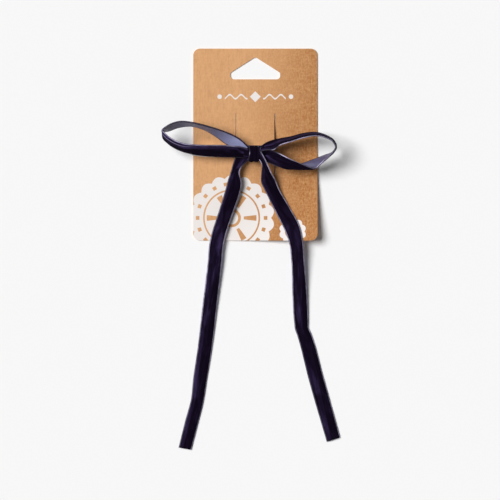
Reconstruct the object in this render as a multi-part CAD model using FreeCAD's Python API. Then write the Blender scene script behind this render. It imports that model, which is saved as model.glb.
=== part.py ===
import FreeCAD, Part
import math
import os

V = FreeCAD.Vector

# ---- display card (mm) ----
CARD_W = 55.0
CARD_H = 85.0
CARD_T = 0.45
CARD_R = 3.0
CURL_START = 16.5
CURL_RADIUS = 85.0
CURL_HEADING = -45.0
HANG_W = 22.0
HANG_BASE = 28.9
HANG_APEX = 38.4
HANG_SHOULDER = 32.8
HANG_R = 1.6
SLIT_X = 8.6
SLIT_TOP = 13.8
SLIT_BOTTOM = -13.5
SLIT_W = 0.3
TONGUE_FLAT = 3.4

# ---- alligator clip ----
CLIP_Y = -2.9
JAW_W = 5.0
STEEL = 0.45
TIP_X = 6.5
PIVOT_X = -19.0
TAB_X = -28.5
TAB_W = 3.8
TAB_SLOPE = 15.0
TOOTH_H = 0.9
TOOTH_PITCH = 1.4
TEETH = 14
EAR_R = 1.5
EAR_BASE = 2.4
PIN_R = 0.5
WIRE = 0.4
COIL_R = 1.1
COIL_PITCH = 0.5
COIL_TURNS = 3.5
LEG_END = -25.5

# ---- ribbon and knot ----
RIBBON_T = 0.9
LINING_T = 0.5
LINING_X = (-14.0, 6.2)
KNOT_X = -0.5
KNOT_Y = -3.9
KNOT_Z = 6.9
KNOT_W = 5.4
KNOT_RY = 3.35
KNOT_RZ = 3.0
CORE_RY = 2.45
CORE_RZ = 2.1
CORE_L = 9.6
TAIL_CUT_L = -12.2
TAIL_CUT_R = -13.2

# ---- named clearances ----
FIT = 0.10
SIDE_FIT = 0.12
PIN_FIT = 0.08
SPLIT = 0.30

# ---- heights that follow from the stack ----
JAW_Z = CARD_T + FIT
TOOTH_TOP = JAW_Z + STEEL + TOOTH_H
TONGUE_RISE = TOOTH_TOP + FIT
UPPER_Z = TONGUE_RISE + CARD_T + FIT
PIVOT_Z = JAW_Z + STEEL + SIDE_FIT + COIL_R + WIRE / 2
BRIDGE_Z = PIVOT_Z + COIL_R + WIRE / 2 + SIDE_FIT
LINING_Z = UPPER_Z + STEEL
PAD_Z = LINING_Z + LINING_T
PIVOT = V(PIVOT_X, CLIP_Y, PIVOT_Z)
TAB_BEND = PIVOT_X - 0.3

# Ribbon edges at stations along each stretch: velvet-side left edge, then right edge.
LEFT_LOOP = [
    ((-3.0, -6.03, 6.2), (-3.0, -1.98, 8.2)),
    ((-5.99, -6.12, 5.9), (-5.98, -1.1, 8.9)),
    ((-9.48, -5.92, 6.0), (-9.27, -0.82, 9.7)),
    ((-14.96, -5.89, 6.09), (-14.93, -0.58, 10.51)),
    ((-21.12, -5.58, 6.7), (-20.81, -0.63, 11.5)),
    ((-27.45, -4.76, 7.41), (-26.7, -0.49, 12.79)),
    ((-33.51, -2.97, 8.07), (-31.95, 0.06, 14.13)),
    ((-38.29, -0.13, 8.79), (-36.49, 1.9, 15.21)),
    ((-40.97, 3.13, 9.21), (-39.45, 4.03, 15.99)),
    ((-40.52, 5.16, 9.4), (-40.99, 5.77, 16.1)),
    ((-38.03, 5.93, 9.32), (-39.01, 7.89, 15.88)),
    ((-34.09, 7.37, 8.98), (-34.22, 9.9, 15.42)),
    ((-27.59, 8.0, 8.29), (-27.12, 9.35, 15.11)),
    ((-22.47, 6.5, 7.53), (-21.72, 8.1, 14.27)),
    ((-17.19, 3.38, 6.8), (-15.67, 6.51, 12.8)),
    ((-12.57, -0.15, 6.3), (-9.96, 4.33, 10.6)),
    ((-7.98, -2.73, 5.7), (-5.98, 1.88, 9.0)),
    ((-3.4, -4.71, 5.2), (-2.8, -1.36, 7.2)),
]
RIGHT_LOOP = [
    ((1.99, -1.15, 6.4), (1.98, -3.49, 8.6)),
    ((4.88, 0.55, 6.2), (4.97, -2.71, 9.4)),
    ((8.37, 1.95, 6.1), (8.24, -2.44, 10.6)),
    ((10.82, 2.3, 5.69), (10.47, -0.62, 12.11)),
    ((15.8, 3.22, 5.94), (15.53, 1.13, 12.66)),
    ((21.2, 4.49, 6.48), (21.06, 2.86, 13.32)),
    ((26.85, 4.87, 7.23), (26.64, 3.73, 14.17)),
    ((31.51, 3.53, 8.01), (31.2, 2.8, 14.99)),
    ((34.71, 1.14, 8.6), (34.44, 0.83, 15.6)),
    ((35.58, -1.2, 8.9), (35.45, -1.56, 15.8)),
    ((34.17, -3.61, 8.7), (34.28, -3.82, 15.7)),
    ((30.66, -5.04, 8.04), (32.34, -5.93, 14.76)),
    ((25.9, -6.75, 7.3), (29.99, -8.35, 12.8)),
    ((20.72, -8.53, 6.6), (28.23, -9.9, 11.0)),
    ((16.34, -10.02, 6.4), (27.16, -10.73, 9.7)),
    ((13.84, -10.78, 7.2), (25.96, -11.08, 9.9)),
    ((12.14, -10.65, 8.3), (24.45, -10.6, 10.8)),
    ((9.85, -9.96, 8.6), (19.78, -8.51, 10.9)),
    ((7.66, -9.05, 8.0), (14.52, -6.1, 10.0)),
    ((5.77, -8.24, 7.2), (10.34, -3.89, 9.0)),
    ((4.18, -7.23, 6.5), (6.96, -2.68, 8.1)),
    ((1.99, -5.92, 5.8), (2.98, -3.05, 7.0)),
]
LEFT_TAIL = [
    ((-3.6, -4.31, 5.0), (-2.6, -6.71, 5.4)),
    ((-8.59, -5.49, 4.3), (-4.39, -8.3, 5.4)),
    ((-9.88, -8.48, 4.15), (-6.09, -10.1, 5.4)),
    ((-10.88, -11.87, 3.8), (-6.99, -12.38, 4.9)),
    ((-12.28, -16.25, 3.3), (-6.09, -17.26, 4.1)),
    ((-13.88, -20.84, 3.1), (-7.19, -22.64, 3.4)),
    ((-16.18, -27.23, 3.0), (-9.59, -29.43, 3.1)),
    ((-18.38, -33.62, 3.0), (-11.89, -35.62, 3.0)),
    ((-20.27, -42.01, 2.9), (-13.78, -43.01, 2.9)),
    ((-21.18, -51.99, 2.4), (-14.79, -52.59, 2.4)),
    ((-23.09, -68.78, 1.4), (-16.69, -69.58, 1.4)),
    ((-25.69, -90.99, 0.6), (-19.29, -91.89, 0.6)),
    ((-27.59, -103.99, 0.47), (-21.4, -104.99, 0.47)),
    ((-30.99, -121.98, 0.47), (-25.09, -123.18, 0.47)),
    ((-33.99, -134.17, 0.6), (-28.29, -135.17, 0.6)),
]
RIGHT_TAIL = [
    ((1.48, -6.67, 8.3), (2.48, -3.21, 9.6)),
    ((2.68, -8.65, 7.9), (3.97, -5.9, 9.7)),
    ((2.73, -11.02, 6.9), (5.66, -9.47, 8.9)),
    ((2.49, -13.79, 5.5), (7.07, -12.62, 7.1)),
    ((2.59, -17.06, 3.9), (8.87, -15.68, 4.9)),
    ((4.39, -20.84, 2.9), (10.18, -18.95, 3.5)),
    ((8.89, -29.92, 2.3), (14.88, -27.22, 2.5)),
    ((13.47, -39.31, 3.9), (19.55, -37.22, 4.75)),
    ((14.86, -43.51, 4.95), (20.63, -42.81, 6.15)),
    ((15.56, -51.99, 4.2), (21.64, -51.59, 4.8)),
    ((16.38, -64.98, 2.1), (22.87, -64.78, 2.1)),
    ((17.49, -78.99, 0.9), (24.09, -79.39, 0.9)),
    ((18.69, -84.49, 0.6), (25.19, -83.99, 0.6)),
    ((23.59, -103.99, 0.47), (30.09, -102.19, 0.47)),
    ((31.59, -131.57, 0.6), (37.69, -129.68, 0.6)),
]


def face(edges):
    return Part.Face(Part.Wire(edges))


def polygon(points):
    return Part.Face(Part.makePolygon(points + points[:1]))


def box(x, y, z):
    size = (x[1] - x[0], y[1] - y[0], z[1] - z[0])
    return Part.makeBox(*size, V(x[0], y[0], z[0]))


def rounded(points, radii):
    """Closed flat face through the points, with each corner rounded to its radius."""
    edges, ends = [], []
    count = len(points)
    for k, (p, r) in enumerate(zip(points, radii)):
        a = (points[k - 1] - p).normalize()
        b = (points[(k + 1) % count] - p).normalize()
        half = a.getAngle(b) / 2
        reach = r / math.tan(half)
        mid = p + (a + b).normalize() * (r / math.sin(half) - r)
        ends.append((p + a * reach, mid, p + b * reach))
    for k, (start, mid, end) in enumerate(ends):
        edges.append(Part.Arc(start, mid, end).toShape())
        edges.append(Part.makeLine(end, ends[(k + 1) % count][0]))
    return face(edges)


def upright(profile, y, thickness):
    """Plate cut from an XZ profile, centred on y."""
    return polygon([V(x, y - thickness / 2, z) for x, z in profile]).extrude(V(0, thickness, 0))


def card_sheet():
    """Flat sheet that bends up along one diagonal fold line towards the lower right corner."""
    sweep = 0.5
    inner = CURL_RADIUS - CARD_T
    centre = V(CURL_START, 0, CURL_RADIUS)

    def on_arc(radius, angle):
        return centre + V(radius * math.sin(angle), 0, -radius * math.cos(angle))

    lower = Part.Arc(*[on_arc(CURL_RADIUS, sweep * k / 2) for k in range(3)]).toShape()
    upper = Part.Arc(*[on_arc(inner, sweep * k / 2) for k in range(3)]).toShape()
    far, far_top = V(-80, 0, 0), V(-80, 0, CARD_T)
    profile = face([
        Part.makeLine(far, on_arc(CURL_RADIUS, 0)),
        lower,
        Part.makeLine(on_arc(CURL_RADIUS, sweep), on_arc(inner, sweep)),
        upper,
        Part.makeLine(on_arc(inner, 0), far_top),
        Part.makeLine(far_top, far),
    ])
    sheet = profile.extrude(V(0, 200, 0))
    sheet.translate(V(0, -100, 0))
    sheet.rotate(V(0, 0, 0), V(0, 0, 1), CURL_HEADING)
    return sheet


def tongue():
    """Strip between the two slits, pushed up in an arch over the lower jaw."""
    top, bottom = SLIT_TOP, SLIT_BOTTOM
    high, low = CLIP_Y + TONGUE_FLAT, CLIP_Y - TONGUE_FLAT
    steps = 6

    def ramp(y_foot, y_head):
        points = []
        for k in range(steps + 1):
            t = k / steps
            rise = TONGUE_RISE * (0.5 - 0.5 * math.cos(math.pi * t))
            points.append(V(0, y_foot + (y_head - y_foot) * t, rise))
        curve = Part.BSplineCurve()
        level = V(0, 1 if y_head > y_foot else -1, 0)
        curve.interpolate(points, InitialTangent=level, FinalTangent=level)
        return curve.toShape()

    under = [ramp(bottom, low), Part.makeLine(V(0, low, TONGUE_RISE), V(0, high, TONGUE_RISE)),
             ramp(top, high)]
    over = [edge.copy() for edge in under]
    for edge in over:
        edge.translate(V(0, 0, CARD_T))
    strips = []
    for low_edge, high_edge in zip(under, over):
        strips.append(Part.makeRuledSurface(low_edge, high_edge).extrude(V(2 * SLIT_X - SLIT_W, 0, 0)))
    feet = [box((0, 2 * SLIT_X - SLIT_W), (bottom - 1, bottom), (0, CARD_T)),
            box((0, 2 * SLIT_X - SLIT_W), (top, top + 1), (0, CARD_T))]
    arch = strips[0].fuse(strips[1:] + feet)
    arch.translate(V(SLIT_W / 2 - SLIT_X, 0, 0))
    return arch


def display_card():
    w, h = CARD_W / 2, CARD_H / 2
    outline = rounded([V(-w, -h, -1), V(w, -h, -1), V(w, h, -1), V(-w, h, -1)], [CARD_R] * 4)
    blank = card_sheet().common(outline.extrude(V(0, 0, 30)))
    hang = rounded(
        [V(-HANG_W / 2, HANG_BASE, -1), V(HANG_W / 2, HANG_BASE, -1), V(HANG_W / 2, HANG_SHOULDER - 1, -1),
         V(0, HANG_APEX + 0.4, -1), V(-HANG_W / 2, HANG_SHOULDER - 1, -1)],
        [HANG_R, HANG_R, HANG_R * 0.7, HANG_R, HANG_R * 0.7])
    side = SLIT_X + SLIT_W / 2
    window = box((-side, side), (SLIT_BOTTOM, SLIT_TOP), (-1, 5))
    return blank.cut([hang.extrude(V(0, 0, 8)), window]).fuse(tongue()).removeSplitter()


def jaw_plan(z, thickness, neck):
    """Plan outline of a stamped jaw: rounded tip, waist at the pivot, tapering finger tab."""
    y, w, t = CLIP_Y, JAW_W / 2, TAB_W / 2
    shoulder = PIVOT_X - 3.4
    outline = rounded([V(TAB_X, y - t, z), V(shoulder, y - w, z), V(TIP_X, y - w, z),
                       V(TIP_X, y + w, z), V(shoulder, y + w, z), V(TAB_X, y + t, z)],
                      [1.4, 0.4, 1.2, 1.2, 0.4, 1.4])
    plan = outline.extrude(V(0, 0, thickness))
    waist = (PIVOT_X - 2.4, PIVOT_X + 3.2)
    notches = [box(waist, (y + neck / 2, y + w + 1), (z, z + thickness)),
               box(waist, (y - w - 1, y - neck / 2), (z, z + thickness))]
    return plan.cut(notches) if neck < JAW_W else plan


def ear(y, z_foot, foot, bore):
    """Upright lug with a round head on the pivot axis, bored for the pin."""
    half = foot / 2
    head = Part.makeCylinder(EAR_R, STEEL, V(PIVOT_X, y - STEEL / 2, PIVOT_Z), V(0, 1, 0))
    web = upright([(PIVOT_X - half, z_foot), (PIVOT_X + half, z_foot),
                   (PIVOT_X + EAR_R, PIVOT_Z), (PIVOT_X - EAR_R, PIVOT_Z)], y, STEEL)
    hole = Part.makeCylinder(bore, STEEL * 3, V(PIVOT_X, y - STEEL * 1.5, PIVOT_Z), V(0, 1, 0))
    return head.fuse(web).cut(hole)


def clip_lower_jaw():
    plate = jaw_plan(JAW_Z, STEEL, JAW_W)
    offset = JAW_W / 2 - STEEL / 2
    root = JAW_Z + STEEL
    solids = []
    for side in (-1, 1):
        y = CLIP_Y + side * offset
        for k in range(TEETH):
            x = TIP_X - 1.4 - k * TOOTH_PITCH
            solids.append(upright([(x, root - 0.1), (x - 0.25, TOOTH_TOP), (x - 0.55, TOOTH_TOP),
                                   (x - TOOTH_PITCH, root + 0.15), (x - TOOTH_PITCH, root - 0.1)], y, STEEL))
        solids.append(ear(y, JAW_Z, 2 * EAR_BASE, PIN_R))
    return plate.fuse(solids).removeSplitter()


def upper_profile():
    """Underside of the upper jaw as (x, z): flat bar, bridge over the coil, rising finger tab."""
    rise = math.tan(math.radians(TAB_SLOPE))
    return [(TIP_X + 0.1, UPPER_Z), (PIVOT_X + 4.4, UPPER_Z), (PIVOT_X + 1.7, BRIDGE_Z),
            (TAB_BEND, BRIDGE_Z), (TAB_X - 0.1, BRIDGE_Z + (TAB_BEND - TAB_X) * rise)]


def clip_upper_jaw():
    under = upper_profile()
    over = [(x, z + STEEL) for x, z in reversed(under)]
    strip = upright(under + over, CLIP_Y, JAW_W + 1)
    neck = JAW_W - 2 * STEEL - 2 * SIDE_FIT
    bar = strip.common(jaw_plan(UPPER_Z - 1, 12, neck))
    offset = neck / 2 - STEEL / 2
    lugs = []
    for side in (-1, 1):
        y = CLIP_Y + side * offset
        lug = upright([(PIVOT_X - 1.3, PIVOT_Z), (PIVOT_X + 1.3, PIVOT_Z),
                       (PIVOT_X + 1.5, BRIDGE_Z + 0.1), (PIVOT_X - 0.3, BRIDGE_Z + 0.1),
                       (PIVOT_X - 1.6, BRIDGE_Z + 0.4)], y, STEEL)
        head = Part.makeCylinder(1.3, STEEL, V(PIVOT_X, y - STEEL / 2, PIVOT_Z), V(0, 1, 0))
        hole = Part.makeCylinder(PIN_R + PIN_FIT, 3, V(PIVOT_X, y - 1.5, PIVOT_Z), V(0, 1, 0))
        lugs.append(lug.fuse(head).cut(hole))
    return bar.fuse(lugs).removeSplitter()


def clip_hinge_pin():
    reach = JAW_W / 2 + 0.15
    profile = [(0, -reach - 0.25), (0.75, -reach - 0.1), (0.85, -reach + 0.15), (PIN_R, -reach + 0.15),
               (PIN_R, reach - 0.15), (0.85, reach - 0.15), (0.75, reach + 0.1), (0, reach + 0.25)]
    half = polygon([PIVOT + V(r, y, 0) for r, y in profile])
    return half.revolve(PIVOT, V(0, 1, 0), 360)


def clip_torsion_spring():
    height = COIL_PITCH * COIL_TURNS
    helix = Part.makeHelix(COIL_PITCH, height, COIL_R)
    ring = Part.Wire(Part.makeCircle(WIRE / 2, V(COIL_R, 0, 0), V(0, 1, 0)))
    coil = Part.Wire(helix).makePipeShell([ring], True, True)
    coil.rotate(V(0, 0, 0), V(1, 0, 0), 90)
    coil.rotate(V(0, 0, 0), V(0, 1, 0), 90)
    coil.translate(PIVOT + V(0, height / 2, 0))
    foot = V(PIVOT_X + 0.15, CLIP_Y + height / 2, PIVOT_Z - COIL_R)
    tip = V(LEG_END, foot.y, JAW_Z + STEEL + WIRE / 2)
    leg = Part.makeCylinder(WIRE / 2, (tip - foot).Length, foot, tip - foot)
    return coil.fuse(leg)


def spring_upper_leg():
    y = CLIP_Y - COIL_PITCH * COIL_TURNS / 2
    rise = math.tan(math.radians(TAB_SLOPE))
    under_tab = BRIDGE_Z + (TAB_BEND - LEG_END) * rise - WIRE * 0.53
    foot = V(PIVOT_X - FIT, y, PIVOT_Z + COIL_R)
    tip = V(LEG_END, y, under_tab)
    return Part.makeCylinder(WIRE / 2, (tip - foot).Length, foot, tip - foot)


def clip_lining():
    w = JAW_W / 2
    x0, x1 = LINING_X
    y = CLIP_Y
    corners = [V(x0, y - w, LINING_Z), V(x1, y - w, LINING_Z), V(x1, y + w, LINING_Z), V(x0, y + w, LINING_Z)]
    return rounded(corners, [0.3, 1.1, 1.1, 0.3]).extrude(V(0, 0, LINING_T))


def oval(x, ry, rz):
    wide = max(ry, rz)
    ellipse = Part.Ellipse(V(x, KNOT_Y, KNOT_Z), wide, min(ry, rz)).toShape()
    ellipse.rotate(V(x, KNOT_Y, KNOT_Z), V(0, 0, 1), 90)
    ellipse.rotate(V(x, KNOT_Y, KNOT_Z), V(0, 1, 0), 90)
    return Part.Wire(ellipse)


def knot_core():
    """Bundle of ribbon squeezed inside the knot, waisted where the wrap grips it."""
    half = CORE_L / 2
    shape = [(-1.0, 0.50), (-0.62, 0.92), (0.0, 1.0), (0.62, 0.92), (1.0, 0.50)]
    return Part.makeLoft([oval(KNOT_X + t * half, CORE_RY * s, CORE_RZ * s) for t, s in shape], True)


def knot_wrap(core):
    """Barrel-shaped turn of ribbon round the bundle."""
    half = KNOT_W / 2
    shape = [(-1.0, 0.86), (-0.55, 0.98), (0.0, 1.0), (0.55, 0.98), (1.0, 0.86)]
    barrel = Part.makeLoft([oval(KNOT_X + t * half, KNOT_RY * s, KNOT_RZ * s) for t, s in shape], True)
    return barrel.cut(core)


def glue_pad(knot):
    """Hot-melt pad that bonds the knot to the lining and fills the curve under it."""
    corners = [V(KNOT_X - 3.4, CLIP_Y - 2.2, PAD_Z), V(KNOT_X + 3.4, CLIP_Y - 2.2, PAD_Z),
               V(KNOT_X + 3.4, CLIP_Y + 2.2, PAD_Z), V(KNOT_X - 3.4, CLIP_Y + 2.2, PAD_Z)]
    pad = rounded(corners, [1.8] * 4).extrude(V(0, 0, KNOT_Z - KNOT_RZ - PAD_Z + 0.7))
    return pad.cut(knot)


def ribbon(stations):
    """Solid strip between smooth edge curves, RIBBON_T thick, following the stations."""
    edges = [(V(*a), V(*b)) for a, b in stations]
    mids = [(a + b) * 0.5 for a, b in edges]
    corners = []
    for k, (a, b) in enumerate(edges):
        ahead = mids[min(k + 1, len(mids) - 1)] - mids[max(k - 1, 0)]
        lift = ahead.cross(b - a).normalize() * (RIBBON_T / 2)
        corners.append([a + lift, b + lift, b - lift, a - lift])
    marks = [0.0]
    for k in range(1, len(mids)):
        marks.append(marks[-1] + (mids[k] - mids[k - 1]).Length)
    rails = []
    for row in zip(*corners):
        curve = Part.BSplineCurve()
        curve.interpolate(Points=list(row), Parameters=marks)
        rails.append(curve.toShape())
    faces = [Part.makeRuledSurface(rails[k], rails[(k + 1) % 4], 1) for k in range(4)]
    for a, b, c, d in (corners[0], corners[-1]):
        faces.append(Part.makeRuledSurface(Part.makeLine(a, b), Part.makeLine(d, c)))
    shell = Part.makeShell(faces)
    shell.sewShape()
    solid = Part.makeSolid(shell)
    if solid.Volume < 0:
        solid.reverse()
    return solid


def split_tail(stations, y_cut):
    """Root that moves with the knot, and tail that stays down, either side of a small gap."""
    whole = ribbon(stations)
    reach = (-60, 60)
    root = whole.common(box(reach, (y_cut + SPLIT / 2, 60), (-20, 40)))
    tail = whole.common(box(reach, (-200, y_cut - SPLIT / 2), (-20, 40)))
    return root, tail


def main():
    core = knot_core()
    wrap = knot_wrap(core)
    knot = [core, wrap]
    left_root, left_tail = split_tail(LEFT_TAIL, TAIL_CUT_L)
    right_root, right_tail = split_tail(RIGHT_TAIL, TAIL_CUT_R)
    nodes = {
        "display_card": display_card(),
        "clip_lower_jaw": clip_lower_jaw(),
        "clip_upper_jaw": clip_upper_jaw(),
        "clip_hinge_pin": clip_hinge_pin(),
        "clip_torsion_spring": clip_torsion_spring(),
        "spring_upper_leg": spring_upper_leg(),
        "clip_lining": clip_lining(),
        "glue_pad": glue_pad(knot),
        "knot_core": core,
        "knot_wrap": wrap,
        "left_loop": ribbon(LEFT_LOOP).cut(knot),
        "right_loop": ribbon(RIGHT_LOOP).cut(knot),
        "left_tail_root": left_root.cut(knot),
        "right_tail_root": right_root.cut(knot),
        "left_tail": left_tail,
        "right_tail": right_tail,
    }
    os.makedirs("parts", exist_ok=True)
    for name, shape in nodes.items():
        print(name, shape.isValid(), len(shape.Solids), round(shape.Volume, 2))
        shape.exportStep("parts/" + name + ".step")


main()
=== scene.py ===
"""Velvet ribbon hair bow on an alligator clip, shown on its kraft display card."""

import math

import bpy
import bmesh
import numpy as np
from bpy.props import FloatProperty, FloatVectorProperty, IntProperty, PointerProperty
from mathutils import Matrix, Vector


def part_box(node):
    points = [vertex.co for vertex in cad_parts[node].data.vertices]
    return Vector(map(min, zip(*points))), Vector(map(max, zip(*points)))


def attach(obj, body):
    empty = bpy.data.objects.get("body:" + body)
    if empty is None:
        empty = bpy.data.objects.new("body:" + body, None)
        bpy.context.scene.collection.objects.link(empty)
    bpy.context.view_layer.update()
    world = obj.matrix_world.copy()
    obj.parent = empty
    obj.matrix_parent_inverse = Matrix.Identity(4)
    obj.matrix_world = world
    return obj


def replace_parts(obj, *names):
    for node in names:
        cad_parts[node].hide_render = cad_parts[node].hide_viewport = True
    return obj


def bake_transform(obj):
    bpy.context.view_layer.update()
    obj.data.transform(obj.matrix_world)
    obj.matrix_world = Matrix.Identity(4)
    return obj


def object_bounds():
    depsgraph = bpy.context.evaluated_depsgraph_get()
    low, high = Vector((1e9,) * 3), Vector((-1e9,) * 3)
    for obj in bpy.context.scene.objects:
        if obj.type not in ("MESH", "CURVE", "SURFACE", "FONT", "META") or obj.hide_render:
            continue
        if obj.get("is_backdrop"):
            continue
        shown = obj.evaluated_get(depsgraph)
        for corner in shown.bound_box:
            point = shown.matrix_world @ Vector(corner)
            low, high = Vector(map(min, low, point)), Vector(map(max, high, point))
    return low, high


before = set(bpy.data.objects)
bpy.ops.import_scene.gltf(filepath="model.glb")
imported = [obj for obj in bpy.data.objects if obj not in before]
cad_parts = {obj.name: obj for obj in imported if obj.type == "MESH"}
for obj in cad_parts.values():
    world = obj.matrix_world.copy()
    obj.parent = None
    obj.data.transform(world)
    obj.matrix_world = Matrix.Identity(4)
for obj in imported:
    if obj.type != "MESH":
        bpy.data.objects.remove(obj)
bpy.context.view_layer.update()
MM = 0.001

bl_info = {
    "name": "Velvet Bow on Card",
    "version": (1, 0, 0),
    "blender": (4, 5, 0),
    "location": "View3D > Sidebar > Bow",
    "description": "Dresses the clip-on velvet bow, its tails and its display card",
    "category": "Object",
}

# The point high over the table that the ribbon is judged from, in millimetres.
SEEN_FROM = (-2.35, -46.7, 2000.0)

# Ribbon stretches in millimetres, as they look from that point. A row is a point on one edge and the point
# across from it on the other, each with its height, then the depth of the pleats there, and the painted sheen
# there on the velvet pile and on the woven back. Where the ribbon stands steeply, its row has two points of
# its outline and the height of its middle instead, and how far its first edge bows out may follow.
LEFT_LOOP = [
    ((-3.0, -5.9, 6.2), (-3.0, -1.8, 8.2), 0.42, 0.1),
    ((-6.0, -6.0, 5.9), (-6.0, -0.9, 8.9), 0.34, 0.1),
    ((-9.5, -5.8, 6.0), (-9.3, -0.6, 9.7), 0.16, 0.15),
    ((-15.0, -6.05), (-15.0, -0.05), 8.3, 0, 0.25),
    ((-21.2, -5.75), (-20.9, -0.05), 9.1, 0, 0.35),
    ((-27.6, -4.95), (-26.8, 0.15), 10.1, 0, 0.5),
    ((-33.8, -3.15), (-32.0, 0.75), 11.1, 0, 0.45),
    ((-38.7, -0.25), (-36.5, 2.6), 12.0, 0, 0.5),
    ((-41.5, 3.1), (-39.4, 4.7), 12.6, 0, 0.55),
    ((-40.7, 5.4, 9.4), (-41.3, 6.2, 16.1), 0, 0.2),
    ((-38.0, 5.8), (-39.5, 8.7), 12.6, 0, 0.1),
    ((-34.2, 7.2), (-34.5, 10.75), 12.2, 0, 0.05),
    ((-27.8, 7.8), (-27.2, 10.2), 11.7, 0, 0.1),
    ((-22.7, 6.3), (-21.7, 8.9), 10.9, 0, 0.12),
    ((-17.4, 3.2), (-15.6, 7.2), 9.8, 0, 0.32),
    ((-12.6, 0.0, 6.3), (-10.0, 4.6, 10.6), 0.05, 0.75),
    ((-8.0, -2.6, 5.7), (-6.0, 2.1, 9.0), 0.25, 1),
    ((-3.4, -4.6, 5.2), (-2.8, -1.2, 7.2), 0.45, 0.6),
]
RIGHT_LOOP = [
    ((2.0, -1.0, 6.4), (2.0, -3.3, 8.6), 0.45, 0.2),
    ((4.9, 1.05, 6.2), (5.0, -2.5, 9.4), 0.3, 0.5),
    ((8.4, 2.37, 6.1), (8.3, -2.2, 10.6), 0.12, 0.5),
    ((10.9, 2.85), (10.5, -0.75), 8.9, 0.04, 0.5, 0.38),
    ((15.9, 3.8), (15.6, 1.0), 9.3, 0, 0.55, 0.25),
    ((21.3, 5.1), (21.2, 2.75), 9.9, 0, 0.55, 0.36),
    ((27.0, 5.5), (26.8, 3.65), 10.7, 0, 0.5, 0.35),
    ((31.8, 4.15), (31.3, 2.75), 11.5, 0, 0.2, 0.17),
    ((35.2, 1.65), (34.4, 0.9), 12.1, 0, 0.05, 0.2),
    ((35.75, -1.0, 8.9), (35.75, -1.2, 15.8), 0, 0),
    ((33.9, -3.3), (35.0, -3.6), 12.2, 0, 0.1),
    ((30.4, -4.7), (33.0, -5.8), 11.4, 0, 0.1),
    ((26.0, -6.6, 7.3), (30.2, -8.1, 12.8), 0, 0.04),
    ((20.8, -8.4, 6.6), (28.4, -9.7, 11.0), 0, 0),
    ((16.4, -9.9, 6.4), (27.3, -10.55, 9.7), 0, 0),
    ((13.9, -10.65, 7.2), (26.1, -10.9, 9.9), 0, 0),
    ((12.2, -10.5, 8.3), (24.6, -10.4, 10.8), 0, 0.1),
    ((9.9, -9.8, 8.6), (19.9, -8.3, 10.9), 0, 0.1),
    ((7.7, -8.9, 8.0), (14.6, -5.9, 10.0), 0.05, 0.15),
    ((5.8, -8.1, 7.2), (10.4, -3.7, 9.0), 0.18, 0.2),
    ((4.2, -7.1, 6.5), (7.0, -2.5, 8.1), 0.35, 0.25),
    ((2.0, -5.8, 5.8), (3.0, -2.9, 7.0), 0.5, 0.2),
]
LEFT_TAIL = [
    ((-3.6, -4.2, 5.0), (-2.6, -6.6, 5.4), 0.45, 0.1),
    ((-8.6, -5.4, 4.3), (-4.4, -8.2, 5.4), 0.3, 0.2),
    ((-9.9, -8.4, 4.15), (-6.1, -10.0, 5.4), 0.18, 0.35),
    ((-10.9, -11.8, 3.8), (-7.0, -12.3, 4.9), 0.08, 0.2),
    ((-12.3, -16.2, 3.3), (-6.1, -17.2, 4.1), 0, 0.2),
    ((-13.52, -20.8, 3.1), (-7.2, -22.6, 3.4), 0, 0.1),
    ((-15.47, -27.2, 3.0), (-9.51, -29.4, 3.1), 0, 0.15),
    ((-17.52, -33.6, 3.0), (-11.71, -35.6, 3.0), 0, 0.15),
    ((-19.63, -40.4, 2.95), (-13.52, -41.8, 2.95), 0, 0.4),
    ((-20.28, -43.41, 2.9), (-14.02, -44.21, 2.9), 0, 0.5),
    ((-21.07, -52.0, 2.4), (-14.8, -52.6, 2.4), 0, 0.55),
    ((-23.1, -68.8, 1.4), (-16.7, -69.6, 1.4), 0, 0.5),
    ((-25.7, -91.0, 0.6), (-19.3, -91.9, 0.6), 0, 0.1),
    ((-27.6, -104.0, 0.47), (-21.4, -105.0, 0.47), 0, 0.3),
    ((-28.46, -112.52, 0.47), (-22.75, -113.62, 0.47), 0, 0.2),
    ((-31.0, -122.0, 0.47), (-25.1, -123.2, 0.47), 0, 0.2),
    ((-34.0, -134.2, 0.6), (-28.3, -135.2, 0.6), 0, 0.1),
]
RIGHT_TAIL = [
    ((1.5, -6.5, 8.3), (2.5, -3.0, 9.6), 0.35, 0.3),
    ((2.7, -8.5, 7.9), (4.0, -5.7, 9.7), 0.26, 0.3),
    ((2.75, -10.9, 6.9), (5.7, -9.3, 8.9), 0.12, 0.2),
    ((2.5, -13.7, 5.5), (7.1, -12.5, 7.1), 0, 0.1),
    ((2.6, -17.0, 3.9), (8.9, -15.6, 4.9), 0, 0.1),
    ((4.4, -20.8, 2.9), (10.2, -18.9, 3.5), 0, 0.2),
    ((8.9, -29.9, 2.3), (14.9, -27.2, 2.5), 0, 0.1),
    ((13.5, -39.3, 3.9), (20.0, -37.2, 4.75), 0, 0.2),
    ((14.9, -43.5, 4.95), (21.07, -42.8, 6.15), 0, 0.1),
    ((15.94, -52.0, 4.2), (21.76, -51.6, 4.8), 0, 0.2),
    ((16.4, -65.0, 2.1), (22.9, -64.8, 2.1), 0, 0.2),
    ((17.21, -79.0, 0.9), (23.56, -79.4, 0.9), 0, 0.3),
    ((17.51, -81.61, 0.75), (23.61, -80.91, 0.75), 0, 0.3),
    ((18.51, -84.5, 0.6), (24.91, -84.0, 0.6), 0, 0.05),
    ((23.6, -104.0, 0.47), (30.1, -102.2, 0.47), 0, 0.2),
    ((31.6, -131.6, 0.6), (37.7, -129.7, 0.6), 0, 0.2),
]

# Finishes of a ribbon's faces, by their place in its list of materials.
PILE, SELVEDGE, BACK = 0, 1, 2
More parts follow.
